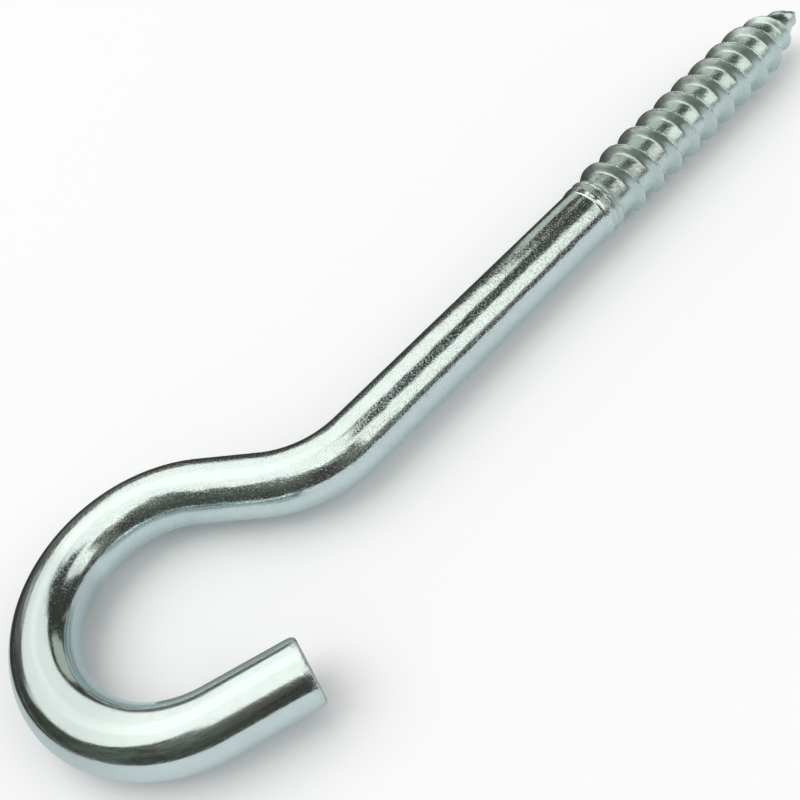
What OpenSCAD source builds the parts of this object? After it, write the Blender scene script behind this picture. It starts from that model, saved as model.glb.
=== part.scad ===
// Screw hook: one length of round steel wire with a rolled wood-screw thread,
// a plain shank, a neck that steps the wire off the screw axis, and an open ring.
// It lies flat: the plane of the hook is level and the screw axis runs along X.

/* [Wire] */
// Diameter of the round wire
wire_d = 6.65; // [5:0.05:10]
// Rounding of the edge around the cut end
end_round = 0.5; // [0.2:0.1:1.2]
// Amount by which bending draws the wire's radius thinner
bend_thinning = 0.03; // [0.02:0.01:0.1]

/* [Screw thread] */
// Length from the tip of the screw to the plain shank
thread_len = 43.7; // [25:0.1:80]
// Distance from one turn of the thread to the next
pitch = 3.6; // [2.4:0.1:5]
// Height that rolling raises the crest above the wire
crest_rise = 0.6; // [0.3:0.05:1.2]
// Depth that rolling sinks the core below the wire
core_sink = 0.3; // [0.2:0.05:0.8]
// Length of the tapered point
point_len = 8; // [5:0.5:16]
// Radius of the blunt nib at the very tip
nib_r = 0.35; // [0.2:0.05:0.8]
// Length over which the last turn dies out at the shank
runout_len = 2.6; // [1.5:0.1:6]

/* [Rolling collar] */
// Width of the low collar between the thread and the shank
collar_w = 1.4; // [0.8:0.1:3]
// Height of the collar above the wire
collar_rise = 0.2; // [0.1:0.05:0.5]

/* [Shank and hook] */
// Length of the plain straight shank
shank_len = 37.8; // [20:0.1:120]
// Radius of the neck bend, to the middle of the wire
neck_r = 12.5; // [8:0.1:20]
// Angle that the neck turns the wire off the screw axis
neck_angle = 49.5; // [35:0.5:60]
// Straight wire between the neck and the ring
link_len = 6.7; // [2:0.1:12]
// Inner diameter of the ring
ring_in_d = 19.4; // [14:0.1:40]
// Angle that the ring turns the wire back through
ring_angle = 209; // [190:1:230]
// Straight wire at the open end
tail_len = 9; // [6:0.1:14]

/* [Hidden] */

// Radii worked out from the wire
wire_r = wire_d / 2;
crest_r = wire_r + crest_rise;
core_r = wire_r - core_sink;
ring_r = ring_in_d / 2 + wire_r;

// Where the middle of the wire runs, in the plane of the hook
neck_centre = [shank_len, -neck_r];
neck_end = neck_centre + neck_r * [sin(neck_angle), cos(neck_angle)];
link_end = neck_end + link_len * [cos(neck_angle), -sin(neck_angle)];
ring_centre = link_end + ring_r * [sin(neck_angle), cos(neck_angle)];
ring_start = -90 - neck_angle;
ring_stop = ring_start + ring_angle;
ring_end = ring_centre + ring_r * [cos(ring_stop), sin(ring_stop)];
tail_dir = [-sin(ring_stop), cos(ring_stop)];
tail_side = [cos(ring_stop), sin(ring_stop)];

// Box around the hook, which places the origin at the middle of its footprint
tail_corner = ring_end + (tail_len - end_round) * tail_dir + (wire_r - end_round) * tail_side;
x_low = -thread_len;
x_high = ring_centre[0] + ring_r + wire_r;
y_low = ring_centre[1] - ring_r - wire_r;
y_high = tail_corner[1] + end_round;
origin_shift = [-(x_low + x_high) / 2, -(y_low + y_high) / 2, crest_r];

// Length that each bend runs on inside the straight wire at its ends
bend_lap = 0.3;

// The thread's surface is a grid: columns around the axis, and rows that follow the helix
columns = 36;
rows_per_turn = 12;
// Share by which the rows crowd towards the crest: 0 spaces them evenly
row_crowding = 0.6;
// Power that narrows the crest: 1 is a plain wave
crest_sharpness = 4.5;
// Power that rounds the point: 1 is a plain quarter wave, less is blunter
point_fullness = 0.75;
// Length of the plain nib in front of the first turn
nib_len = 1.5;
// The thread runs on inside the collar and the shank, this share of its sink above the core
thread_stop = thread_len - collar_w;
hidden_share = 0.6;
rows = ceil(thread_stop / pitch * rows_per_turn) + 1;

// Collar outline: where its rise ends and its fall begins and ends, as shares of its width
collar_top_start = 0.3;
collar_top_end = 0.6;
collar_foot = 0.9;

// Share of the full radius at a distance from the tip: a blunt ogive
function point_share(from_tip) =
    let (share = min(1, max(0, from_tip / point_len)))
    pow(sin(90 * share), point_fullness);

// Radius of the core at a distance from the tip
function core_at(from_tip) =
    nib_r + (core_r - nib_r) * point_share(from_tip);

// Height of the crest over the core: full along the thread, low at the tip and in the run-out
function crest_height_at(from_tip) =
    let (
        fade = min(1, max(0, (thread_stop - from_tip) / runout_len)),
        full = crest_r - core_r,
        hidden = hidden_share * core_sink
    )
    (hidden + (full - hidden) * fade) * point_share(from_tip);

// How far along its turn a row lies, as a share of the pitch: close together at the crest
function turn_at(row) =
    let (share = row / rows_per_turn)
    share - row_crowding * sin(360 * share) / (2 * PI);

// Shape of one turn across a pitch: 1 at the crest, 0 midway between crests
function turn_shape(turn) = pow(pow(cos(180 * turn), 2), crest_sharpness);

// One point of the thread's surface, which is a right-hand helix
function thread_point(row, column) =
    let (
        turn = turn_at(row),
        angle = 360 * column / columns,
        from_tip = nib_len + pitch * (turn + column / columns),
        radius = core_at(from_tip) + crest_height_at(from_tip) * turn_shape(turn)
    )
    [from_tip - thread_len, radius * cos(angle), radius * sin(angle)];

// The grid joins itself one turn on, so a column past the last is the first, a turn further along
function grid_index(row, column) =
    column < columns
        ? row * columns + column
        : (row + rows_per_turn) * columns + column - columns;

// A closed solid: the grid, a fan to the tip and a fan to a point inside the shank
module screw_thread() {
    last_row = rows + rows_per_turn;
    points = concat(
        [for (row = [0:last_row]) for (column = [0:columns - 1]) thread_point(row, column)],
        [[-thread_len, 0, 0], [pitch - collar_w, 0, 0]]
    );
    tip = len(points) - 2;
    inside = len(points) - 1;
    skin = [
        for (row = [0:rows - 1])
            for (column = [0:columns - 1])
                let (
                    a = grid_index(row, column),
                    b = grid_index(row + 1, column),
                    c = grid_index(row + 1, column + 1),
                    d = grid_index(row, column + 1)
                )
                each [[a, b, c], [a, c, d]]
    ];
    tip_loop = concat(
        [for (column = [0:columns]) grid_index(0, column)],
        [for (row = [rows_per_turn - 1:-1:0]) grid_index(row, 0)]
    );
    end_loop = concat(
        [for (column = [0:columns]) grid_index(rows, column)],
        [for (row = [rows + rows_per_turn - 1:-1:rows]) grid_index(row, 0)]
    );
    tip_fan = [for (k = [0:len(tip_loop) - 2]) [tip, tip_loop[k], tip_loop[k + 1]]];
    end_fan = [for (k = [0:len(end_loop) - 2]) [inside, end_loop[k + 1], end_loop[k]]];
    polyhedron(points, concat(skin, tip_fan, end_fan));
}

// Plain shank with the low collar that the rolling dies leave at its start
module shank() {
    rotate([0, 90, 0])
        rotate_extrude($fn = 96)
            polygon([
                [0, -collar_w],
                [wire_r - collar_rise / 2, -collar_w],
                [wire_r + collar_rise, collar_w * (collar_top_start - 1)],
                [wire_r + collar_rise, collar_w * (collar_top_end - 1)],
                [wire_r, collar_w * (collar_foot - 1)],
                [wire_r, shank_len],
                [0, shank_len]
            ]);
}

// A bend of the wire about the origin, from start through sweep degrees.
// Its slightly thinner ends run on inside the straight wire on both sides.
module bend(radius, start, sweep) {
    lap_angle = atan(bend_lap / radius);
    rotate([0, 0, start - lap_angle])
        rotate_extrude(angle = sweep + 2 * lap_angle, $fn = 120)
            translate([radius, 0])
                circle(r = wire_r - bend_thinning, $fn = 48);
}

// Straight wire along +X
module straight(length) {
    rotate([0, 90, 0])
        cylinder(h = length, r = wire_r, $fn = 96);
}

// Straight tail along +X, its cut face edged with a rounding
module tail() {
    rotate([0, 90, 0])
        rotate_extrude($fn = 96)
            polygon(concat(
                [[0, 0], [wire_r, 0]],
                [
                    for (angle = [0:15:90])
                        [
                            wire_r - end_round + end_round * cos(angle),
                            tail_len - end_round + end_round * sin(angle)
                        ]
                ],
                [[0, tail_len]]
            ));
}

module screw_hook() {
    color("silver")
        translate(origin_shift) {
            screw_thread();
            shank();
            translate(neck_centre)
                bend(neck_r, 90 - neck_angle, neck_angle);
            translate(neck_end)
                rotate([0, 0, -neck_angle])
                    straight(link_len);
            translate(ring_centre)
                bend(ring_r, ring_start, ring_angle);
            translate(ring_end)
                rotate([0, 0, ring_stop + 90])
                    tail();
        }
}

screw_hook();
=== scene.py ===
# %% [markdown]
# # A zinc-plated screw hook
#
# This lesson makes one real object: a length of round steel wire with a wood-screw
# thread rolled into one end and an open ring bent at the other, bright zinc plated.
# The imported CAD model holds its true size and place. Here its surface is made again
# as one fine mesh, with what rolling, bending, cutting and plating leave on the wire,
# and it gets a metal finish and a small studio to reflect.

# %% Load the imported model
import math

import bpy
import numpy as np
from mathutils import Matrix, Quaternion, Vector


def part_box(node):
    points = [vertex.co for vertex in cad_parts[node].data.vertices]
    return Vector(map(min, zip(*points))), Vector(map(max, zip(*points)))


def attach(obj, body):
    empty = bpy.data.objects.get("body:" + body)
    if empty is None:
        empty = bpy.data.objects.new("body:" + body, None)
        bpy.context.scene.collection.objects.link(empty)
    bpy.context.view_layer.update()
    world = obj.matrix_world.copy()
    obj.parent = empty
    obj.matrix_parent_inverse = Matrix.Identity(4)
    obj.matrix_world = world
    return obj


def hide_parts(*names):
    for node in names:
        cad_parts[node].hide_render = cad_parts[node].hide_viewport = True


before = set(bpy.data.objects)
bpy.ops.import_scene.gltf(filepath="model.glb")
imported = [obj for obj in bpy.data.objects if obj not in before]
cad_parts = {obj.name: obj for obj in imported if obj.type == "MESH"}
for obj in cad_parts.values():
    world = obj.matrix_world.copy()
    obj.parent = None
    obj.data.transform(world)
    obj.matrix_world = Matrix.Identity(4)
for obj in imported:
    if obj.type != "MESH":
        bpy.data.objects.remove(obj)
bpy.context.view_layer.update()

# One millimetre, in metres
MM = 0.001
hook_low, hook_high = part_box("screw_hook")

# %% [markdown]
# ## Sizes
#
# A wire is measured as its maker would measure it: its diameter, how far the thread
# lifts above it, and the lengths and radii of its straights and bends. All of these are
# in millimetres, and the finished points are turned into metres. The crests touch the
# floor and the ceiling of the CAD box, so half the box's height is the crest's radius,
# and the screw can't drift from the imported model's size.

# %% Sizes of the wire, in millimetres
wire_r = 6.65 / 2
crest_r = (hook_high.z - hook_low.z) / MM / 2
core_sink = 0.3
core_r = wire_r - core_sink
thread_len, pitch = 43.7, 3.6
shank_len, link_len, tail_len = 37.8, 6.7, 9.0
neck_r, neck_turn = 12.5, math.radians(49.5)
ring_in_d, ring_turn = 19.4, math.radians(209)
ring_r = ring_in_d / 2 + wire_r
# The wire's stretches from the end of the thread: each one's length and how sharply it
# bends, in radians a millimetre, left turns positive
stretches = [
    (shank_len, 0.0),
    (neck_r * neck_turn, -1 / neck_r),
    (link_len, 0.0),
    (ring_r * ring_turn, 1 / ring_r),
    (tail_len, 0.0),
]
wire_end = sum(length for length, bend in stretches)
print("crest radius", round(crest_r, 3), "and plain wire", round(wire_end, 2), "mm long")

# %% [markdown]
# ## The line through the middle of the wire
#
# The hook is a profile carried along a path, so the path comes first. It could be a
# Blender curve, but a formula is exact, and it gives the direction at every point too,
# which the surface needs. Straights and bends are the same thing here: on each stretch
# the heading turns evenly, and a straight is a stretch that turns by nothing.

# %% A function for the middle line
def wire_line(along):
    """Middle of the wire and its heading at each distance along it.

    From the start of a stretch the chord to a point has the mean of the two headings,
    and its length is distance * sin(h) / h, where h is half of the angle turned."""
    x = np.zeros_like(along)
    y = np.zeros_like(along)
    heading = np.zeros_like(along)
    start = 0.0
    for length, bend in stretches:
        shortest = -thread_len if start == 0 else 0.0
        distance = np.clip(along - start, shortest, length)
        turned = bend * distance
        chord = distance * np.sinc(turned / 2 / np.pi)
        x = x + chord * np.cos(heading + turned / 2)
        y = y + chord * np.sin(heading + turned / 2)
        heading = heading + turned
        start = start + length
    return x, y, heading


cut_x, cut_y, cut_heading = (float(part[0]) for part in wire_line(np.array([wire_end])))
print("the cut end is at", round(cut_x, 2), round(cut_y, 2), "mm")
print("and it heads", round(math.degrees(cut_heading), 1), "degrees from the screw")

# %% [markdown]
# ## Smooth steps, ridges and unevenness
#
# Three small formulas shape everything that follows. A smooth step fades one shape into
# the next, a bell curve makes a ridge or a groove, and a sum of cosines makes metal
# that was rolled and bent rather than drawn with a compass. A noise texture could do
# the last, but these waves move the real surface, so they show in its outline too. The
# random draws come from a numbered seed, so the hook is the same at every run.

# %% Three shaping functions
WAVE_SPREAD = 1.5


def smooth(share):
    """Goes from 0 to 1 as the share does, level at both ends: share^2 * (3 - 2 * share)."""
    share = np.clip(share, 0.0, 1.0)
    return share * share * (3 - 2 * share)


def bell(distance, width):
    """A ridge 1 high at no distance: e to the power of minus (distance / width) squared."""
    return np.exp(-((distance / width) ** 2))


def waves(along, angle, count, longest, shortest, seed):
    """Gentle unevenness, mostly between -1 and 1: a sum of cosines, each with its own
    length, direction and start. A whole number of waves fits around the wire, so that
    the last column of points meets the first."""
    draw = np.random.default_rng(seed)
    total = np.zeros(np.broadcast(along, angle).shape)
    for length in np.geomspace(longest, shortest, count):
        lean = draw.uniform(0, 2 * np.pi)
        around = np.round(wire_r * 2 * np.pi / length * np.cos(lean))
        start = draw.uniform(0, 2 * np.pi)
        phase = 2 * np.pi * along / length * np.sin(lean) + around * angle + start
        total = total + np.cos(phase)
    return total * np.sqrt(2 / count) / WAVE_SPREAD


tried = waves(np.linspace(0, thread_len, 400), 0.0, count=12, longest=6.0, shortest=1.2, seed=11)
print("waves run from", round(tried.min(), 2), "to", round(tried.max(), 2))

# %% [markdown]
# ## The shape of one turn of thread
#
# Rolling dies press the root of the thread in, and the metal flows up into a crest. This
# crest is narrow, its flank towards the point is steep, the one towards the shank is
# longer, and both run out into the root in a small fillet. A drawn profile could be
# bevelled, but a formula is shorter: two sloping lines with rounded corners, which give
# a height between 0 and 1 at each distance from the crest.

# %% Functions for one turn
nib_len = 1.5
crest_flat = 0.07
crest_round = 0.14
shank_flank, shank_fillet = 0.61, 0.18
tip_flank, tip_fillet = 0.46, 0.26


def from_crest(from_tip, angle):
    """Distance along the axis past the nearest crest: the crests lie a pitch apart, and
    each moves on by angle / 360 degrees of a pitch around the axis."""
    turn = (from_tip - nib_len) / pitch - angle / (2 * np.pi)
    return (turn - np.round(turn)) * pitch


def thread_wave(distance):
    """1 on the crest and 0 in the root. The slope falls by distance / flank and is a
    hyperbola, not a corner, at the crest. Slope + root(slope^2 + fillet^2), as a share
    of what that is on the crest, then lets it run out level in the root."""
    flank = np.where(distance > 0, shank_flank, tip_flank)
    fillet = np.where(distance > 0, shank_fillet, tip_fillet)
    beyond = np.maximum(np.abs(distance) - crest_flat, 0.0)
    slope = 1 + (crest_round - np.sqrt(beyond**2 + crest_round**2)) / flank
    return (slope + np.sqrt(slope**2 + fillet**2)) / (1 + np.sqrt(1 + fillet**2))


for step in (0.0, 0.2, 0.6, -0.2, -0.6):
    print("height at", step, "mm from the crest:", round(float(thread_wave(np.array(step))), 2))

# %% [markdown]
# ## The whole screw
#
# Towards the tip the core and the crest shrink together into a gimlet point, which ends
# in a small nib that starts the screw in the wood, and towards the shank the crest
# fades out over less than a turn. Rolling leaves its marks: the crest wanders by a
# hair's breadth, it is uneven, it has a fine seam where the two flows of metal met, and
# the root is faintly dented. A bump texture could fake these, but they catch the light
# along every turn and show in the outline, so all of them are in the radius.

# %% A function for the screw's radius
point_len = 11.5
point_fullness = 0.80
nib_r = 0.2
nib_taper, nib_fullness = 1.1, 0.75
# The crest fades out over the run-out, which ends a gap before the collar
collar_w, runout_gap, runout_len = 1.4, 0.3, 2.6
crest_wander = 0.018
crest_mean, crest_uneven = 0.98, 0.018
seam_depth, seam_width = 0.05, 0.09
seam_mean, seam_swing = 0.5, 1.5
dent_depth, dent_fall = 0.011, 4
# Waves of each kind: how many, the longest, the shortest and the seed of their draws
wander_waves = (16, 5.0, 1.6, 21)
uneven_waves = (18, 5.0, 0.9, 3)
seam_waves = (9, 9.0, 2.5, 4)
dent_waves = (30, 2.4, 0.5, 5)


def point_share(from_tip):
    """Share of the full radius near the point: sin(90 degrees * distance / point length)
    to the power of its fullness."""
    share = np.clip(from_tip / point_len, 0.0, 1.0)
    return np.sin(share * np.pi / 2) ** point_fullness


def thread_radius(from_tip, angle):
    """Core radius plus the crest's height times the wave of one turn, less the seam,
    plus the dents times the share of the surface that is root: (1 - wave)^dent_fall."""
    share = point_share(from_tip)
    nib = nib_r * np.clip(from_tip / nib_taper, 0.0, 1.0) ** nib_fullness
    core = nib + (core_r - nib_r) * share
    fade = smooth((thread_len - collar_w - runout_gap - from_tip) / runout_len)
    height = (crest_r - core_r) * fade * share
    distance = from_crest(from_tip, angle)
    wave = thread_wave(distance + crest_wander * waves(from_tip, angle, *wander_waves))
    uneven = waves(from_tip, angle, *uneven_waves)
    seam_share = smooth(seam_mean + seam_swing * waves(from_tip, angle, *seam_waves))
    seam = bell(distance, seam_width) * seam_share
    radius = core + height * (wave * (crest_mean + crest_uneven * uneven) - seam_depth * seam)
    dents = waves(from_tip, angle, *dent_waves)
    return radius + share * (1 - wave) ** dent_fall * dent_depth * dents


sixth_root = np.array([nib_len + 5.5 * pitch])
root_r = float(thread_radius(sixth_root, np.zeros(1))[0])
print("the point is", point_len, "mm long and a root has a radius of", round(root_r, 2))

# %% [markdown]
# ## The collar
#
# The dies stop a little short of the plain shank. What they leave there is a collar: two
# fine ridges pressed up beside the last turn, and a low lip with a shallow wandering
# groove in it, after which the wire has its full size again. They could be loops of
# points pulled out by hand. Here each is a bell curve in the distance along the wire,
# which is easy to move, and the distance leans a little around it, as the dies did.

# %% A function for the collar's radius
collar_start, collar_step = -2.9, 1.0
collar_foot, collar_short = 0.16, 0.10
collar_rise = wire_r - core_r - collar_short
# Height, place along the wire and width of each ridge
ridges = [(0.11, -2.45, 0.10), (0.13, -2.0, 0.11)]
lip_height, lip_at, lip_width = 0.12, -0.85, 0.46
lip_mean, lip_uneven = 0.88, 0.12
groove_depth, groove_at, groove_width = 0.05, -1.0, 0.07
groove_wander = 0.12
die_lean, die_uneven = 0.16, 0.05
wire_start, wire_step, wire_uneven = -0.22, 0.18, 0.06
collar_waves = (14, 4.0, 0.7, 8)
groove_waves = (9, 2.4, 0.9, 31)


def collar_radius(along, angle):
    """The core's radius rising in a smooth step, plus a bell curve for each ridge and
    for the lip, less one for the groove, then in a short step to the wire's radius."""
    uneven = waves(along, angle, *collar_waves)
    lean = along + die_lean * (angle / np.pi - 1) + die_uneven * uneven
    radius = core_r + collar_foot + collar_rise * smooth((lean - collar_start) / collar_step)
    for height, place, width in ridges:
        radius = radius + height * bell(lean - place, width)
    lip = lip_height * bell(lean - lip_at, lip_width) * (lip_mean + lip_uneven * uneven)
    wander = groove_wander * waves(along, angle, *groove_waves)
    groove = groove_depth * bell(lean - groove_at - wander, groove_width)
    to_wire = smooth((along - wire_start) / wire_step + wire_uneven * uneven)
    return (radius + lip - groove) * (1 - to_wire) + wire_r * to_wire


collar_try = collar_radius(np.array([lip_at]), np.array([np.pi]))
print("the lip stands", round(float(collar_try[0] - wire_r), 3), "mm above the wire")

# %% [markdown]
# ## The cut end
#
# The wire was sheared off, not sawn. Shears draw the metal in a little before they part
# it, round its edge unevenly, and leave a face that is not quite square to the wire. The
# first two belong in the radius. A Boolean cut could make the slant, but it would leave
# ragged faces. Here the last rows of points move along the wire, more on one side than
# on the other, which bends no other part of it.

# %% Functions for the cut end
drawn_in_depth, drawn_in_len, drawn_in_power = 0.05, 1.3, 1.5
edge_len, edge_swing, edge_ripple = 0.42, 0.14, 0.06
edge_drop, edge_power = 0.32, 2.2
long_edge_side = 1.4
cut_ripple, cut_ripple_len = 0.010, 1.6
cut_slant, cut_short = 0.42, 0.16
cut_high = math.radians(120)
slant_len = 2.2
cut_waves = (12, 6.0, 1.2, 11)


def end_radius(along, angle):
    """The wire's radius less what the shears drew in and less the rounding of the edge,
    which is edge_drop * (1 - root(1 - share of the edge ^ edge_power)), and a ripple."""
    uneven = waves(along, angle, *cut_waves)
    from_end = wire_end - along
    drawn_in = drawn_in_depth * smooth(1 - from_end / drawn_in_len) ** drawn_in_power
    edge = edge_len + edge_swing * np.cos(angle - long_edge_side) + edge_ripple * uneven
    past = np.clip(1 - from_end / edge, 0.0, 1.0)
    rounding = edge_drop * (1 - np.sqrt(1 - past**edge_power))
    ripple = cut_ripple * uneven * smooth(1 - from_end / cut_ripple_len)
    return wire_r - drawn_in - rounding + ripple


def end_shift(along, angle):
    """How far a point moves along the wire: slant * cos(angle from the high side) less a
    little, fading out within the slant's length from the end."""
    slant = cut_slant * np.cos(angle - cut_high) - cut_short
    return slant * smooth(1 - (wire_end - along) / slant_len)


rim = end_radius(np.full(8, wire_end), np.arange(8) * np.pi / 4)
print("the cut face is", round(2 * float(rim.mean()), 2), "mm across")

# %% [markdown]
# ## A grid that follows the thread
#
# On a plain tube's grid a thread's crest cuts across the rows and comes out as a
# staircase. This grid is wound with the thread instead: each row climbs one pitch per
# turn, so a whole row lies on the crest and others in the root and along each flank.
# The rows crowd together at the crest, where the surface turns most sharply, by adding
# sines to their even steps. There is a turn or two to spare at either end. Its points
# are pressed flat onto the tip or onto the last circle.

# %% Places of the screw's points
columns, rows_per_turn = 112, 44
crest_crowding, root_crowding = 0.65, 0.22
thread_stop = -2.2
angle = np.arange(columns) * 2 * np.pi / columns

first_turn = -2
last_turn = int(np.ceil((thread_len + thread_stop) / pitch)) + 1
even_turn = np.arange(first_turn * rows_per_turn, last_turn * rows_per_turn + 1) / rows_per_turn
row_turn = even_turn - crest_crowding * np.sin(2 * np.pi * even_turn) / (2 * np.pi)
row_turn = row_turn + root_crowding * np.sin(4 * np.pi * even_turn) / (4 * np.pi)
climb = row_turn[:, None] + angle[None, :] / (2 * np.pi)
screw_along = np.clip(-thread_len + nib_len + pitch * climb, -thread_len, thread_stop)
screw_angle = np.broadcast_to(angle, screw_along.shape)
screw_rows = len(screw_along)
print(screw_rows, "rows of", columns, "points follow the thread")

# %% [markdown]
# ## A grid of circles for the rest
#
# From the end of the thread on, plain circles do. A Subdivision modifier would make
# them equally close everywhere. Here they stand close together over the collar, wide
# apart on the plain wire, which has nothing to show between them, and closer and closer
# towards the rounded edge of the cut.

# %% Places of the collar's and the plain wire's points
collar_stop, collar_spacing = 0.2, 0.055
plain_start, plain_stop, plain_spacing = 0.5, wire_end - 2.3, 0.62
near_end_start, near_end_stop, near_end_spacing = wire_end - 2.2, wire_end - 0.8, 0.1
rim_len, rim_circles = 0.75, 16

collar_rows = np.arange(thread_stop, collar_stop, collar_spacing)[1:]
plain_rows = np.arange(plain_start, plain_stop, plain_spacing)
near_end_rows = np.arange(near_end_start, near_end_stop, near_end_spacing)
rim_rows = wire_end - rim_len * (1 - np.sin(np.linspace(0.0, np.pi / 2, rim_circles)))
round_rows = np.concatenate([collar_rows, plain_rows, near_end_rows, rim_rows])
round_along, round_angle = np.meshgrid(round_rows, angle, indexing="ij")
print(len(round_rows), "circles, of which", len(collar_rows), "over the collar")

# %% [markdown]
# ## The radius everywhere
#
# The screw fades into the collar over half a millimetre, and the collar into the wire.
# They could be separate meshes that overlap, but a seam would show, so one formula has
# both. Where both have something to say, the higher one wins.

# %% Radius of the metal at every point
blend_len = 0.55
screw_gone, screw_fade = -0.9, 0.4


def surface_radius(along, angle):
    """Screw * (1 - blend) + the higher of collar and fading screw * blend before the
    shank, and the plain wire with its cut end after it."""
    blend = smooth((along - collar_start) / blend_len)
    screw = thread_radius(along + thread_len, angle)
    fading_screw = screw * smooth((screw_gone - along) / screw_fade)
    collar = np.maximum(collar_radius(along, angle), fading_screw)
    screw_end = screw * (1 - blend) + collar * blend
    return np.where(along < 0.0, screw_end, end_radius(along, angle))


all_along = np.concatenate([screw_along, round_along])
all_angle = np.concatenate([screw_angle, round_angle])
radius = surface_radius(all_along, all_angle)
print("radius from", round(radius.min(), 3), "to", round(radius.max(), 3), "mm")

# %% [markdown]
# ## From radius to points
#
# A point is the middle of the wire at its distance, plus the radius times a direction
# across the wire: sideways times the cosine of its angle, and up times the sine. A
# curve's own bevel couldn't do this, because its radius can't change around the wire.
# The nib leans a little to one side, as rolled points do. The finished wire is centred
# on the CAD box, and its axis lies a crest's radius above the floor.

# %% Points of the surface
tip_lean, tip_lean_len = np.array([0.0, 0.30, 0.20]), 5.0
face_hollow = 0.05


def grid_points(along, angle, radius):
    """Middle + radius * (cos(angle) * left of the heading + sin(angle) * up)."""
    x, y, heading = wire_line(along)
    left = radius * np.cos(angle)
    across = [x - left * np.sin(heading), y + left * np.cos(heading), radius * np.sin(angle)]
    return np.stack(across, -1)


carried = np.concatenate([screw_along, round_along + end_shift(round_along, round_angle)])
points = grid_points(carried, all_angle, radius)
lean_share = np.clip(1 - (all_along + thread_len) / tip_lean_len, 0.0, 1.0) ** 2
points = points + lean_share[..., None] * tip_lean
poles = grid_points(np.array([-thread_len, wire_end - face_hollow]), np.zeros(2), np.zeros(2))
poles[0] += tip_lean

plain = points[screw_rows:]
box_middle = (hook_low + hook_high) / MM / 2
shift = np.array([
    box_middle.x - (plain[..., 0].max() - thread_len) / 2,
    box_middle.y - (plain[..., 1].max() + plain[..., 1].min()) / 2,
    crest_r,
])
verts = np.concatenate([points.reshape(-1, 3), poles]) + shift
print("moved by", shift.round(3), "mm onto the CAD box")

# %% [markdown]
# ## Faces
#
# Each cell of the grid is two triangles. Around a circle the last column joins the
# first; around the thread it joins the first one a turn further on, because the rows
# climb. Points that were pressed onto the tip or the last circle all take that place's
# number, and a triangle that names the same point twice is dropped. Blender's own fill
# tools would do this with less care, and what is left here is one closed skin, which
# the count of open edges confirms.

# %% Numbers of the points and of those beside them
numbers = np.arange(all_along.size).reshape(all_along.shape)
tip_pole = all_along.size
end_pole = tip_pole + 1
last_circle = numbers[screw_rows - 1]
screw_numbers = np.where(screw_along >= thread_stop, last_circle, numbers[:screw_rows])
screw_numbers = np.where(screw_along <= -thread_len, tip_pole, screw_numbers)
turn_later = np.minimum(np.arange(screw_rows) + rows_per_turn, screw_rows - 1)
beside = np.concatenate([screw_numbers[:, 1:], screw_numbers[turn_later, :1]], axis=1)
circles = np.concatenate([last_circle[None, :], numbers[screw_rows:]])
circles_beside = np.roll(circles, -1, axis=1)
print("the tip is point", tip_pole, "and the middle of the cut is", end_pole)


# %% Triangles
def cell_triangles(rows, rows_beside):
    """Two triangles for each cell between a row, the next row and their neighbours."""
    near, far = rows[:-1], rows[1:]
    near_beside, far_beside = rows_beside[:-1], rows_beside[1:]
    first = np.stack([near, far_beside, far], -1)
    second = np.stack([near, near_beside, far_beside], -1)
    return np.concatenate([first.reshape(-1, 3), second.reshape(-1, 3)])


end_fan = np.stack([numbers[-1], np.roll(numbers[-1], -1), np.full(columns, end_pole)], -1)
triangles = np.concatenate([
    cell_triangles(screw_numbers, beside),
    cell_triangles(circles, circles_beside),
    end_fan,
])
whole = (triangles != np.roll(triangles, 1, axis=1)).all(axis=1)
used, triangles = np.unique(triangles[whole], return_inverse=True)
triangles = triangles.reshape(-1, 3)
edges = np.sort(np.concatenate([triangles[:, [0, 1]], triangles[:, [1, 2]], triangles[:, [2, 0]]]))
edge_uses = np.unique(edges, axis=0, return_counts=True)[1]
print(len(triangles), "triangles and", int((edge_uses != 2).sum()), "open edges")

# %% [markdown]
# ## The hook as an object
#
# Points and triangles only show once a mesh holds them and an object puts the mesh in
# the scene. The real hook is one piece, so it is one object, whose place is already in
# its points. Two calls tie it to the CAD model: it moves with the root body, and the
# CAD part it stands for is hidden.

# %% The hook as a Blender object
def put_in_scene(name, data):
    """An object that holds a mesh, a lamp or a camera, linked to the scene."""
    made = bpy.data.objects.new(name, data)
    bpy.context.scene.collection.objects.link(made)
    return made


mesh = bpy.data.meshes.new("screw_hook")
mesh.from_pydata((verts[used] * MM).tolist(), [], triangles.tolist())
mesh.shade_smooth()
print("mesh needed mending:", mesh.validate())
hook = put_in_scene("plated_screw_hook", mesh)
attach(hook, "root")
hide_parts("screw_hook")

# %% [markdown]
# ## Marks for the finish to follow
#
# A finish needs to know where it is on the wire. Object coordinates don't, because the
# wire bends, and a UV map has a seam. So every point carries two marks: its place as if
# the wire were straight, and how near it is to a crest or a ridge. Both come from the
# same formulas as the shape, so the finish can't slip off it.

# %% Two attributes
shiny_places = [place for height, place, width in ridges] + [groove_at]
shiny_width = 0.16
thread_marked_to = -1.6
tip_height, cut_height = 0.5, 0.0


def add_mark(mesh, name, kind, field, values):
    """Store one number, vector or colour for each point of a mesh."""
    mark = mesh.attributes.new(name, kind, "POINT")
    mark.data.foreach_set(field, values.astype(np.float32).ravel())
    print("marked", name, "on", len(mesh.vertices), "points")


straight = np.stack([all_along, radius * np.cos(all_angle), radius * np.sin(all_angle)], -1)
pole_places = np.array([[-thread_len, 0, 0], [wire_end, 0, 0]])
straight = np.concatenate([straight.reshape(-1, 3), pole_places])
add_mark(mesh, "wire_place", "FLOAT_VECTOR", "vector", straight[used])

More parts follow.
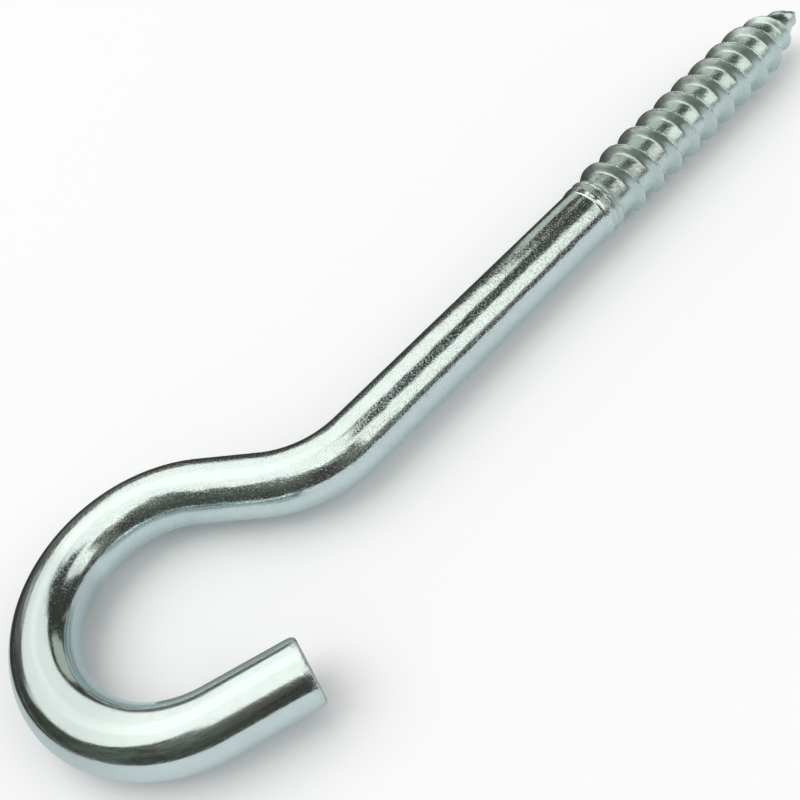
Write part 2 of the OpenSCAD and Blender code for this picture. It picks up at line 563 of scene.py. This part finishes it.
in_thread = np.where(all_along < thread_marked_to, 1.0, 0.0)
crest = in_thread * thread_wave(from_crest(all_along + thread_len, all_angle))
collar_crest = sum(bell(all_along - place, shiny_width) for place in shiny_places)
crest = np.concatenate([np.maximum(crest, collar_crest).ravel(), [tip_height, cut_height]])
add_mark(mesh, "crest_height", "FLOAT", "value", crest[used])

# %% [markdown]
# ## Writing node trees
#
# A material made by hand in the shader editor is nodes and links. Written in Python,
# each node takes several lines, so this small class makes one node per call and hands
# back its output, which goes straight into the next call. A number, colour or vector
# may stand wherever an output may.

# %% A class for node trees
class Nodes:
    """Makes the nodes of one tree, and links them as they are made."""

    # A Mix node has sockets for every kind of value; these are its share and two colours
    colour_sockets, colour_result = (0, 6, 7), 2

    def __init__(self, tree):
        self.tree = tree

    def add(self, kind, **settings):
        """One node of a kind, with its settings."""
        made = self.tree.nodes.new("ShaderNode" + kind)
        for name, value in settings.items():
            setattr(made, name, value)
        return made

    def put(self, socket, source):
        """Link an output to a socket, or set the socket's own value."""
        if hasattr(source, "is_output"):
            self.tree.links.new(source, socket)
        else:
            socket.default_value = source

    def math(self, operation, *parts, clamp=False):
        """One sum of up to three numbers, such as ADD: first + second."""
        made = self.add("Math", operation=operation, use_clamp=clamp)
        for socket, part in zip(made.inputs, parts):
            self.put(socket, part)
        return made.outputs[0]

    def scaled(self, part, weight, base=0.0):
        """Part * weight + base."""
        return self.math("MULTIPLY_ADD", part, weight, base)

    def remap(self, source, low, high, to_low=0.0, to_high=1.0, kind="LINEAR"):
        """Low to high becomes to_low to to_high, and nothing goes past either."""
        made = self.add("MapRange", interpolation_type=kind)
        for socket, part in zip(made.inputs, (source, low, high, to_low, to_high)):
            self.put(socket, part)
        return made.outputs[0]

    def noise(self, place, scale, detail, rough=0.5, distortion=0.0):
        """Cloudy noise between 0 and 1, with so many clouds to a unit of length."""
        made = self.add("TexNoise")
        self.put(made.inputs["Vector"], place)
        names = ("Scale", "Detail", "Roughness", "Distortion")
        for name, part in zip(names, (scale, detail, rough, distortion)):
            self.put(made.inputs[name], part)
        return made.outputs["Fac"]

    def stretch(self, place, scale):
        """The same place with each direction scaled, which draws a pattern out."""
        made = self.add("Mapping")
        self.put(made.inputs["Vector"], place)
        self.put(made.inputs["Scale"], scale)
        return made.outputs[0]

    def mix(self, share, first, second):
        """A colour between two colours."""
        made = self.add("Mix", data_type="RGBA")
        for number, part in zip(self.colour_sockets, (share, first, second)):
            self.put(made.inputs[number], part)
        return made.outputs[self.colour_result]

    def mixed(self, share, first, second):
        """A shader between two shaders."""
        made = self.add("MixShader")
        for socket, part in zip(made.inputs, (share, first, second)):
            self.put(socket, part)
        return made.outputs[0]


# %% A function for materials
def new_material(name):
    """A material with nodes, and the helper for its tree."""
    made = bpy.data.materials.new(name)
    made.use_nodes = True
    print("material", name)
    return made, Nodes(made.node_tree)


zinc, coat = new_material("bright_zinc")

# %% [markdown]
# ## Bright zinc: where it lies
#
# Bright zinc is a thin coat of metal with a faint blue-green cast. It copies the steel
# below it: on the shank and the neck it is grainy, on the ring, where the wire was
# burnished by bending over a former, it is calmer, and on the screw it lies satin on
# the flanks and shiny on the crests. A painted picture could say where, but it would
# need a seam. Here five masks, each 0 to 1, are worked out from the two marks, and
# everything in the finish is weighted by them.

# %% Masks of the zinc
place = coat.add("Attribute", attribute_name="wire_place").outputs["Vector"]
crest_mark = coat.add("Attribute", attribute_name="crest_height").outputs["Fac"]
parts = coat.add("SeparateXYZ")
coat.put(parts.inputs[0], place)
along_mark = parts.outputs[0]

# The places or crest heights between which each mask goes from 0 to 1; the grain goes
# from 1 to what the former left of it
SCREW_ZINC, RIDGE_ZINC = (-0.5, -1.2), (0.90, 1.0)
BURNISHED, GRAIN_LEFT = (62.0, 84.0), 0.35
SHEARED_ZINC, TORN_ZINC = (wire_end - 1.0, wire_end - 0.35), (wire_end - 0.8, wire_end - 0.3)
screw = coat.remap(along_mark, *SCREW_ZINC)
grainy = coat.remap(along_mark, *BURNISHED, 1.0, GRAIN_LEFT, "SMOOTHSTEP")
ridge = coat.remap(crest_mark, *RIDGE_ZINC)
sheared = coat.remap(along_mark, *SHEARED_ZINC)
torn = coat.remap(along_mark, *TORN_ZINC)
print("the zinc has", len(zinc.node_tree.nodes), "nodes so far")

# %% [markdown]
# ## Bright zinc: its relief
#
# The finest relief is far too small to be geometry: crystals of a few tenths of a
# millimetre, pits between them, the long ripple that the drawing die left, the streaks
# of the rolling dies around the screw, and torn metal on the crests and at the sheared
# edge. Each is a noise of its own scale, in millimetres of height, and their sum goes
# to one Bump node. The noises read the straight place, so that their grain follows the
# wire around its bends.

# %% Grain and streaks of the zinc
GRAIN_HEIGHT, PIT_DEPTH = 0.0078, -0.0066
DRAWN_HEIGHT, ROLLED_HEIGHT = 0.003, 0.012
RIPPLE_CALM, RIPPLE_GRAINY = 0.009, 0.034
SCREW_QUIET = 0.45
# Each noise has its clouds to a millimetre, detail, roughness and distortion
CRYSTALS, PITS, PIT_EDGE = (3.6, 2.0, 0.6, 0.3), (5.6, 1.0, 0.5, 0.3), (0.57, 0.70)
RIPPLE, DRAWN, ROLLED = (0.9, 1.0), (2.6, 2.0, 0.6), (1.0, 2.0, 0.6)
# Along and across the wire: under 1 makes streaks along it, over 1 rings around it
RIPPLE_STRETCH, DRAWN_STRETCH = (0.45, 1.0, 1.0), (0.07, 1.0, 1.0)
ROLLED_STRETCH = (5.0, 1.1, 1.1)

quiet = coat.scaled(screw, -SCREW_QUIET, grainy)
crystals = coat.scaled(coat.noise(place, *CRYSTALS), GRAIN_HEIGHT)
pits = coat.remap(coat.noise(place, *PITS), *PIT_EDGE, 0.0, PIT_DEPTH, "SMOOTHSTEP")
relief = coat.scaled(coat.math("ADD", crystals, pits), quiet)
ripple = coat.noise(coat.stretch(place, RIPPLE_STRETCH), *RIPPLE)
ripple_height = coat.remap(grainy, GRAIN_LEFT, 1.0, RIPPLE_CALM, RIPPLE_GRAINY)
relief = coat.scaled(ripple, ripple_height, relief)
drawn = coat.noise(coat.stretch(place, DRAWN_STRETCH), *DRAWN)
relief = coat.scaled(drawn, DRAWN_HEIGHT, relief)
rolled = coat.noise(coat.stretch(place, ROLLED_STRETCH), *ROLLED)
relief = coat.scaled(rolled, coat.scaled(screw, ROLLED_HEIGHT), relief)
print("the grain is", GRAIN_HEIGHT, "mm high and the ripple up to", RIPPLE_GRAINY, "mm")

# %% Torn metal on the crests and at the cut
ROOT_TEARS, CREST_TEARS, EDGE_TEARS = 0.026, 0.09, 0.09
TEARS, EDGE_RAGS = (2.8, 2.0, 0.6, 0.5), (2.6, 3.0, 0.65, 0.8)

tears = coat.noise(place, *TEARS)
tear_height = coat.scaled(coat.scaled(ridge, CREST_TEARS, ROOT_TEARS), screw)
relief = coat.scaled(tears, tear_height, relief)
edge_tears = coat.scaled(coat.noise(place, *EDGE_RAGS), EDGE_TEARS)
relief = coat.scaled(edge_tears, torn, relief)

bump = coat.add("Bump")
coat.put(bump.inputs["Strength"], 1.0)
coat.put(bump.inputs["Distance"], MM)
coat.put(bump.inputs["Height"], relief)
print("the relief reaches", round(CREST_TEARS + ROOT_TEARS, 3), "mm on the crests")

# %% [markdown]
# ## Bright zinc: its gloss
#
# How sharp a reflection is comes from the roughness. Bright zinc is nearly a mirror, in
# broad patches a little more or less so, with dull specks where crystals stand open. On
# the flanks of the thread the coat is satin, on the crests it is rubbed shiny, and the
# sheared edge is duller again. One number could do for the whole hook, but evenly shiny
# metal looks like plastic, so the roughness is a sum of these.

# %% Gloss of the zinc
SMOOTHEST, ROUGHEST = 0.08, 0.13
SPECK_ROUGH, SPECKS_QUIET = 0.17, 0.5
ROOT_SATIN, FLANK_SATIN = 0.11, 0.12
CREST_SHINE, EDGE_DULL = -0.17, 0.14
PATCHES, SPECKS = (0.35, 3.0, 0.6), (4.8, 2.0, 0.6, 0.4)
# Between which values of each noise, or of the crest mark, the change happens
CLOUD_EDGE, SPECK_EDGE, FLANK_FOOT = (0.3, 0.7), (0.53, 0.62), (0.0, 0.03)

rough = coat.remap(coat.noise(place, *PATCHES), *CLOUD_EDGE, SMOOTHEST, ROUGHEST)
specks = coat.remap(coat.noise(place, *SPECKS), *SPECK_EDGE, 0.0, SPECK_ROUGH)
speckled = coat.scaled(screw, -SPECKS_QUIET, grainy)
rough = coat.scaled(specks, speckled, rough)
on_flank = coat.remap(crest_mark, *FLANK_FOOT)
on_flank = coat.scaled(on_flank, coat.math("SUBTRACT", 1.0, ridge))
satin = coat.scaled(on_flank, FLANK_SATIN, ROOT_SATIN)
rough = coat.scaled(screw, satin, rough)
rough = coat.scaled(coat.scaled(ridge, screw), CREST_SHINE, rough)
rough = coat.scaled(sheared, EDGE_DULL, rough)
print("roughness from", SMOOTHEST, "up to", round(ROUGHEST + SPECK_ROUGH, 2), "on the plain wire")

# %% [markdown]
# ## Bright zinc: its colour
#
# The zinc's own colour is a light grey with a cool green cast, drifting slightly from
# place to place, and a little greener on the screw. Around the ring it is painted a
# shade darker, which is painted shade: it dims the ring's reflections. The face of the
# cut is coloured dark. All else that seems to be on the metal is a reflection. A picture
# could hold the colour, but noises and masks need no file and have no seam.

# %% Colour of the zinc
ZINC_COOL = (0.725, 0.828, 0.820, 1.0)
ZINC_PALE = (0.765, 0.882, 0.895, 1.0)
ZINC_ROLLED = (0.720, 0.838, 0.825, 1.0)
# Painted shade: a darker zinc for the ring, so that its reflections come out dimmer
ZINC_PAINTED_SHADE = (0.600, 0.695, 0.700, 1.0)
# A dark colour that the last fraction of a millimetre at the cut is mixed towards
CUT_FACE_DARK = (0.270, 0.300, 0.280, 1.0)
TONES = (0.6, 3.0, 0.6)
# Where along the wire the ring's painted shade comes and goes, and the cut face starts
PAINTED_SHADE_FROM, PAINTED_SHADE_TO = (69.0, 72.0), (90.0, 99.0)
CUT_FACE = (wire_end - 0.20, wire_end - 0.05)

tone = coat.remap(coat.noise(place, *TONES), *CLOUD_EDGE)
# Painted shade around the ring: the colour is mixed towards the darker zinc there
painted_ring_shade = coat.remap(along_mark, *PAINTED_SHADE_FROM, kind="SMOOTHSTEP")
painted_ring_shade = coat.scaled(painted_ring_shade, coat.remap(along_mark, *PAINTED_SHADE_TO, 1.0, 0.0, "SMOOTHSTEP"))
own_colour = coat.mix(screw, coat.mix(tone, ZINC_COOL, ZINC_PALE), ZINC_ROLLED)
own_colour = coat.mix(painted_ring_shade, own_colour, ZINC_PAINTED_SHADE)
# The face of the cut is coloured dark
cut_face = coat.remap(along_mark, *CUT_FACE)
own_colour = coat.mix(cut_face, own_colour, CUT_FACE_DARK)

shader = zinc.node_tree.nodes["Principled BSDF"]
shader.inputs["Metallic"].default_value = 1.0
coat.put(shader.inputs["Roughness"], rough)
coat.put(shader.inputs["Base Color"], own_colour)
coat.put(shader.inputs["Normal"], bump.outputs[0])
mesh.materials.append(zinc)
print("the finished zinc has", len(zinc.node_tree.nodes), "nodes")

# %% [markdown]
# ## A room for the metal to reflect
#
# A polished metal shows little but its surroundings, so they decide how it looks. In a
# product studio they are big soft boxes with dark gaps between them, which draw long
# pale and dark bands on a round wire. A picture of a real room could do it, but here a
# dome around the hook holds them all, so that each can be moved. It is seen only in
# reflections: to the camera and to the floor it isn't there.
#
# A soft box is described as a photographer would: in which direction it stands, how
# wide and high it is, how far it is rolled over and how soft its edge is. All of these
# are angles, in degrees.

# %% Directions and soft-edged shapes
def toward(azimuth, elevation):
    """Unit vectors: azimuth from +X towards +Y, elevation above the floor, in degrees."""
    around, above = np.radians(azimuth), np.radians(elevation)
    flat = np.cos(above)
    return np.stack([flat * np.cos(around), flat * np.sin(around), np.sin(above)], -1)


def soft_shape(direction, azimuth, elevation, width, height, roll, soft, squareness):
    """How much of each direction a soft-edged shape covers, from 0 to 1. Its reach is
    (|2x / width|^p + |2y / height|^p)^(1/p), which is an ellipse where the squareness p
    is 2 and nearly a rectangle where it is 5, and the edge is a smooth step."""
    centre = toward(azimuth, elevation)
    right = np.array([-np.sin(np.radians(azimuth)), np.cos(np.radians(azimuth)), 0.0])
    up = np.cross(centre, right)
    turn = np.radians(roll)
    across = np.cos(turn) * right + np.sin(turn) * up
    upward = np.cos(turn) * up - np.sin(turn) * right
    facing = direction @ centre
    x = np.degrees(np.arctan2(direction @ across, facing))
    y = np.degrees(np.arctan2(direction @ upward, np.hypot(facing, direction @ across)))
    reach_x = np.abs(2 * x / width) ** squareness
    reach_y = np.abs(2 * y / height) ** squareness
    reach = (reach_x + reach_y) ** (1 / squareness)
    return smooth((1 - reach) * min(width, height) / 2 / soft + 0.5)


def between(value, start, full, fading, end):
    """0 before the start, 1 from full to fading, and 0 again after the end."""
    rising = smooth((value - start) / (full - start))
    falling = smooth((value - fading) / (end - fading))
    return rising * (1 - falling)


print("straight up is", toward(0.0, 90.0).round(3))

# %% [markdown]
# ## The soft boxes
#
# Big ones hang on both sides of the hook and one overhead. Smaller ones round off their
# shapes, brighten their middles or glow weakly in the gaps. They could be meshes, but a
# list of shapes is quicker to change. Their white is a little over 1, so that the zinc
# comes out about as bright as its own colour.

# %% The soft boxes
WHITE = np.array([1.125, 1.095, 1.032])
# Brightness, azimuth, elevation, width, height, roll, softness of the edge, squareness
soft_boxes = [
    (1.0, -52, 60, 62, 62, 0, 3, 2.3),
    (1.0, -124, 42, 36, 58, 32, 4, 5),
    (1.0, -98, 48, 40, 34, 10, 4, 4),
    (1.0, 65, 80, 34, 46, 0, 4, 3),
    (1.0, 122, 38.5, 25, 39, -22, 4, 6),
    (1.0, 130, 47, 17, 20, -40, 3, 4),
    (1.0, 92, 61, 34, 15, 0, 4, 3),
    (0.5, -76, 24, 10, 14, 0, 5, 2),
    (0.6, -49, 26, 9, 10, 0, 5, 2),
    (0.5, 79, 47, 8, 8, 0, 5, 2),
    (1.22, 74, 60, 16, 14, 0, 5, 2),
    (1.12, -80, 64, 34, 28, 0, 2, 5),
]
print(len(soft_boxes), "soft boxes")

# %% [markdown]
# ## The dark parts of the room
#
# Between the soft boxes the room is dark, but not black: one wall grows lighter towards
# its top and another from end to end, a curtain hangs beside the first, and a far
# corner is a little lighter too. Furniture could stand there, but metal shows it as
# soft greys, so each is a layer laid over the last, as paint would be, by mixing
# towards its colour. Most are greener than the white, as walls in daylight are.

# %% Light from every direction of the room
ROOM_DARK = np.array([0.085, 0.081, 0.070])
WALL_LOW, WALL_HIGH = np.array([0.088, 0.092, 0.075]), np.array([0.265, 0.275, 0.230])
SIDE_FAR, SIDE_NEAR = np.array([0.080, 0.080, 0.066]), np.array([0.150, 0.168, 0.140])
CURTAIN = np.array([0.200, 0.204, 0.175])
FAR_CORNER = np.array([0.200, 0.190, 0.170])
DARK_LEVEL = 0.667
# Azimuths between which each stands: where it starts, is full, starts to fade and ends
WALL_SPAN, SIDE_SPAN, CURTAIN_SPAN = (5, 20, 54, 63), (-70, -40, 8, 14), (76, 86, 108, 125)
# Where a change of shade starts and how far it goes on, in degrees
WALL_RISE, SIDE_FALL, CURTAIN_FOOT = (15, 45), (-50, 55), (2, 10)
FAR_CORNER_SHAPE = (-88, 14, 60, 30, 0, 10, 2)


def change(value, start, length):
    """A smooth step from 0 at the start to 1 after the length."""
    return smooth((value - start) / length)


def laid(light, share, colour):
    """Light with a colour laid over a share of it: light * (1 - share) + colour * share."""
    return light * (1 - share[..., None]) + share[..., None] * colour


def room_light(direction):
    """Colour and lit share of each direction: the dark parts in layers, then whichever
    soft box is brightest there."""
    azimuth = np.degrees(np.arctan2(direction[..., 1], direction[..., 0]))
    elevation = np.degrees(np.arcsin(np.clip(direction[..., 2], -1, 1)))
    wall = laid(WALL_LOW, change(elevation, *WALL_RISE), WALL_HIGH)
    side = laid(SIDE_FAR, change(azimuth, *SIDE_FALL), SIDE_NEAR)
    light = laid(ROOM_DARK, between(azimuth, *WALL_SPAN), wall)
    light = laid(light, between(azimuth, *SIDE_SPAN), side)
    curtain = between(azimuth, *CURTAIN_SPAN) * change(elevation, *CURTAIN_FOOT)
    light = laid(light, curtain, CURTAIN)
    light = laid(light, soft_shape(direction, *FAR_CORNER_SHAPE), FAR_CORNER)
    lit = np.zeros(direction.shape[:-1])
    for brightness, *shape in soft_boxes:
        lit = np.maximum(lit, brightness * soft_shape(direction, *shape))
    return np.maximum(light * DARK_LEVEL, lit[..., None] * WHITE), lit


overhead = room_light(toward(0.0, 90.0)[None, :])[0]
print("light from overhead:", overhead[0].round(2))

# %% [markdown]
# ## Set pieces that only shine
#
# The walls and boards of the room are only there to be reflected, so their material is
# nothing but light, and they are hidden from every other kind of ray. Lamps could do
# it, but a lamp can't carry a pattern as simply. The walls also get some clutter in
# their dark parts, a soft noise that makes them lighter and darker, because real rooms
# are never even, and a wire that reflects an even grey looks computed.

# %% Materials that only shine
CLUTTER = (9.0, 3.0, 0.65, 0.6)
CLUTTER_EDGE, CLUTTER_SHADES = (0.36, 0.68), (0.45, 1.8)


def shining(name):
    """A material that is nothing but light: its nodes, its glow and its output."""
    made, nodes = new_material(name)
    made.node_tree.nodes.clear()
    out = nodes.add("OutputMaterial")
    glow = nodes.add("Emission")
    nodes.put(out.inputs[0], glow.outputs[0])
    return made, nodes, glow, out


def seen_in_metal_only(name, data):
    """Put a set piece into the scene so that only reflections see it."""
    thing = put_in_scene(name, data)
    for rays in ("camera", "diffuse", "shadow", "transmission", "volume_scatter"):
        setattr(thing, "visible_" + rays, False)


walls, wall, wall_glow = shining("room_walls")[:3]
wall_light = wall.add("Attribute", attribute_name="room_light").outputs["Color"]
lit_share = wall.add("Attribute", attribute_name="lit").outputs["Fac"]
wall_place = wall.add("TexCoord").outputs["Object"]
clutter = wall.remap(wall.noise(wall_place, *CLUTTER), *CLUTTER_EDGE, *CLUTTER_SHADES)
unlit = wall.math("SUBTRACT", 1.0, lit_share, clamp=True)
strength = wall.scaled(clutter, unlit, wall.math("SUBTRACT", 1.0, unlit))
wall.put(wall_glow.inputs["Color"], wall_light)
wall.put(wall_glow.inputs["Strength"], strength)

# %% [markdown]
# ## The dome
#
# The room's walls and soft boxes are one hemisphere of points, and each point carries
# its light as a colour attribute. A world texture could hold them too, but it would
# also light the floor, and this dome is seen by the metal alone.

# %% The dome's mesh
dome_r = 1.5
dome_foot, dome_top, dome_step = -2, 89, 2.0
middle = (hook_low + hook_high) / 2
around = np.arange(-180, 180, dome_step)
upward = np.arange(dome_foot, dome_top, dome_step)
dome_az, dome_el = np.meshgrid(around, upward, indexing="ij")
directions = np.concatenate([toward(dome_az, dome_el).reshape(-1, 3), [[0, 0, 1]]])

slices, rings = len(around), len(upward)
slice_at, ring_at = np.meshgrid(np.arange(slices), np.arange(rings - 1), indexing="ij")
here = slice_at * rings + ring_at
beyond = (slice_at + 1) % slices * rings + ring_at
dome_cells = np.stack([here, beyond, beyond + 1, here + 1], -1).reshape(-1, 4)
last_ring = np.arange(slices) * rings + rings - 1
dome_cap = np.stack([last_ring, np.roll(last_ring, -1), np.full(slices, slices * rings)], -1)

dome_mesh = bpy.data.meshes.new("room")
dome_points = directions * dome_r + np.array(middle)
dome_mesh.from_pydata(dome_points.tolist(), [], dome_cells.tolist() + dome_cap.tolist())
light, lit = room_light(directions)
light = np.concatenate([light, np.ones((len(light), 1))], 1)
add_mark(dome_mesh, "room_light", "FLOAT_COLOR", "color", light)
add_mark(dome_mesh, "lit", "FLOAT", "value", lit)
dome_mesh.materials.append(walls)
seen_in_metal_only("room", dome_mesh)

# %% [markdown]
# ## Boards near the hook
#
# The dome is so far away that every part of the wire sees it alike. What stands close by
# does not: it shows in one bend and not in the next, and that is what makes a ring look
# as if it lay on a real table. Photographers set such boards around small metal things.
# These are a tall dark board, a dark table top behind the hook, a grey card that the
# ring catches, a pale card that only the screw faces, a small dark flag near the start
# of the shank, and a low grey strip that gives the tail a crisp far edge. Each is one
# flat face, because metal shows no more of it than its outline.

# %% A function for boards
def board(name, corners, shade, one_sided=False):
    """One flat face with its corners in millimetres. A one-sided board is transparent
    from behind: the Backfacing output chooses between its light and nothing."""
    flat = bpy.data.meshes.new(name)
    flat.from_pydata((np.array(corners) * MM).tolist(), [], [list(range(len(corners)))])
    made, nodes, glow, out = shining(name)
    nodes.put(glow.inputs["Color"], (*shade, 1.0))
    if one_sided:
        behind = nodes.add("NewGeometry").outputs["Backfacing"]
        nothing = nodes.add("BsdfTransparent").outputs[0]
        nodes.put(out.inputs[0], nodes.mixed(behind, glow.outputs[0], nothing))
    flat.materials.append(made)
    seen_in_metal_only(name, flat)


# %% The boards
BOARD_DARK = (0.050, 0.050, 0.042)
CARD_GREY = (0.54, 0.56, 0.49)
CARD_PALE = (0.95, 0.96, 0.88)
STRIP_GREY = (0.26, 0.28, 0.23)

table_height = 0.15
table = [(-400, -9), (28, -9), (34, -20.5), (400, -20.5), (400, -900), (-400, -900)]
# The grey card stands upright on a line: how far along it each corner is, and how high
card_start, card_run = np.array([-96.0, -1.0]), np.array([27.0, -82.0])
card = [
    (0.12, 36), (0.85, 8), (1.18, 8), (1.18, 48), (1.02, 72), (0.85, 78), (0.62, 92), (0.40, 104),
]
seen_from_both_sides = [
    ("dark_board", BOARD_DARK, [(-28.5, -146, 0), (-162, 28, 0), (-162, 28, 300)]),
    ("dark_table", BOARD_DARK, [(x, y, table_height) for x, y in table]),
    ("grey_card", CARD_GREY, [(*(card_start + share * card_run), height) for share, height in card]),
]
seen_from_the_front = [
    ("screw_card", CARD_PALE, [(-47, 26, 11), (-47, 11, 28), (-160, 23, 58), (-160, 57, 19)]),
    ("shank_flag", BOARD_DARK, [(-21, -16, 17), (-32, -11, 17), (-32, -11, 36), (-21, -16, 36)]),
    ("tail_strip", STRIP_GREY, [(51, 4.5, 0.1), (36, 10, 0.1), (36, 10, 5.5), (51, 4.5, 5.5)]),
]
for name, shade, corners in seen_from_both_sides:
    board(name, corners, shade)
for name, shade, corners in seen_from_the_front:
    board(name, corners, shade, one_sided=True)

# %% [markdown]
# ## Lamps
#
# Two soft lamps light the floor and give the hook its shadow: one overhead and one like
# a window. The dome could do this, but lamps give less noise. The metal doesn't show
# them, because it shows the dome's soft boxes, and a lamp seen twice would be too
# bright. A lamp's power comes from its brightness: power = pi * area * brightness.

# %% Two soft lamps
LAMP_LIGHT = (1.46, 1.45, 1.42)
LAMP_DISTANCE = 1.2


def soft_lamp(name, azimuth, elevation, width, brightness):
    """A round lamp in a direction, facing the hook. It is 2 * distance * tan(half the
    angle) wide, where the angle is how wide it looks from the hook, in degrees."""
    lamp = bpy.data.lights.new(name, "AREA")
    lamp.shape = "DISK"
    lamp.size = 2 * LAMP_DISTANCE * math.tan(math.radians(width / 2))
    level = max(brightness)
    lamp.energy = math.pi * (math.pi * lamp.size**2 / 4) * level
    lamp.color = [part / level for part in brightness]
    box = put_in_scene(name, lamp)
    out = Vector(toward(azimuth, elevation))
    box.location = middle + LAMP_DISTANCE * out
    box.rotation_mode = "QUATERNION"
    box.rotation_quaternion = (-out).to_track_quat("-Z", "Y")
    box.visible_glossy = False
    print(name, "has", round(lamp.energy, 2), "watts")


soft_lamp("overhead_lamp", azimuth=-60, elevation=62, width=62, brightness=LAMP_LIGHT)
soft_lamp("window_lamp", azimuth=123, elevation=38, width=34, brightness=LAMP_LIGHT)

# %% [markdown]
# ## The floor
#
# The hook lies on plain pale paper. Near the hook the paper is lit by the lamps and
# holds its shadow. A studio's paper curves up behind. This one lies flat and fades to
# plain white further out, for the camera and for metal, so that it has no visible edge
# from any side. Near the hook, half of what metal sees of the paper is a painted
# reflection: a fixed glow, a little darker and bluer than the paper the camera sees.

# %% The floor, in metres
FLOOR_HALF = 3.0
floor_mesh = bpy.data.meshes.new("floor")
sides = [(-1, -1), (1, -1), (1, 1), (-1, 1)]
floor_corners = [(x * FLOOR_HALF, y * FLOOR_HALF, 0) for x, y in sides]
floor_mesh.from_pydata(floor_corners, [], [(0, 1, 2, 3)])
floor = put_in_scene("floor", floor_mesh)
print("the floor is", 2 * FLOOR_HALF, "m wide")

# %% The paper where it is near
PAPER_ROUGH = 0.9
PAPER = (0.93, 0.94, 0.94, 1.0)
# Painted reflection: for rays from metal, half the near paper is this darker, bluer glow
PAINTED_PAPER_REFLECTION, PAINTED_REFLECTION_SHARE = (0.38, 0.44, 0.46, 1.0), 0.5

paper, sheet = new_material("floor_paper")
paper_shader = paper.node_tree.nodes["Principled BSDF"]
paper_shader.inputs["Base Color"].default_value = PAPER
paper_shader.inputs["Roughness"].default_value = PAPER_ROUGH
paper_shader.inputs["Specular IOR Level"].default_value = 0.0
painted_reflection = sheet.add("Emission")
sheet.put(painted_reflection.inputs["Color"], PAINTED_PAPER_REFLECTION)
# Half of what metal sees of the near paper is the painted reflection
painted_reflection_share = sheet.scaled(sheet.add("LightPath").outputs["Is Glossy Ray"], PAINTED_REFLECTION_SHARE)
near_paper = sheet.mixed(painted_reflection_share, paper_shader.outputs[0], painted_reflection.outputs[0])

# %% The paper where it fades to white
FADE_START, FADE_END = 0.22, 0.62


def seen_rays(nodes):
    """1 for the rays that see a background: from the camera, from metal, through glass."""
    path = nodes.add("LightPath")
    seen = nodes.math("ADD", path.outputs["Is Camera Ray"], path.outputs["Is Glossy Ray"])
    return nodes.math("ADD", seen, path.outputs["Is Transmission Ray"], clamp=True)


from_centre = sheet.add("VectorMath", operation="LENGTH")
sheet.put(from_centre.inputs[0], sheet.add("TexCoord").outputs["Object"])
far_share = sheet.remap(from_centre.outputs["Value"], FADE_START, FADE_END, kind="SMOOTHSTEP")
far_share = sheet.scaled(far_share, seen_rays(sheet))
far_paper = sheet.add("Emission").outputs[0]
paper_end = paper.node_tree.nodes["Material Output"].inputs[0]
sheet.put(paper_end, sheet.mixed(far_share, near_paper, far_paper))
floor_mesh.materials.append(paper)
print("the paper fades to white from", FADE_START, "m to", FADE_END, "m")

# %% [markdown]
# ## The air of the studio
#
# Light that has bounced off walls comes from everywhere and fills the shadow under the
# hook. Real walls could give it, at the cost of much noise. An even white world is
# simpler, and it is brighter for the rays that see it as a background than for those
# that light the floor.

# %% The air of the studio
AIR_FILL, AIR_SEEN = 0.62, 1.0
world = bpy.data.worlds.new("studio_air")
world.use_nodes = True
world.node_tree.nodes.clear()
bpy.context.scene.world = world
air = Nodes(world.node_tree)
sky = air.add("Background")
air.put(sky.inputs["Color"], (1.0, 1.0, 1.0, 1.0))
air.put(sky.inputs["Strength"], air.remap(seen_rays(air), 0.0, 1.0, AIR_FILL, AIR_SEEN))
air.put(air.add("OutputWorld").inputs[0], sky.outputs[0])
print("the air fills shadows at", AIR_FILL, "and is seen at", AIR_SEEN)

# %% [markdown]
# ## The camera
#
# The camera looks down at the hook from the open side of the ring, close enough for the
# ring to look a little bigger than the screw, and is rolled over so that the screw runs
# up to the right. It is placed by what it aims at, the direction it stands in and its
# distance, which are easier to think in than three coordinates.

# %% The camera
AIM = Vector((14.24, 0.18, 3.925)) * MM
CAMERA_SIDE = Vector(toward(58.89, 48.57))
CAMERA_DISTANCE = 108.09 * MM
CAMERA_ROLL = math.radians(-20.15)
LENS, SENSOR = 47.09, 36.0
CLIP_NEAR, CLIP_FAR = 0.005, 10

camera = bpy.data.cameras.new("camera")
camera.lens = LENS
camera.sensor_width = SENSOR
camera.clip_start = CLIP_NEAR
camera.clip_end = CLIP_FAR
eye = put_in_scene("camera", camera)
bpy.context.scene.camera = eye
eye.location = AIM + CAMERA_DISTANCE * CAMERA_SIDE
eye.rotation_mode = "QUATERNION"
rolled_over = Quaternion((0, 0, 1), CAMERA_ROLL)
eye.rotation_quaternion = (-CAMERA_SIDE).to_track_quat("-Z", "Y") @ rolled_over
bpy.context.scene.view_settings.view_transform = "Standard"
print("the camera stands", round(eye.location.z / MM), "mm above the floor")
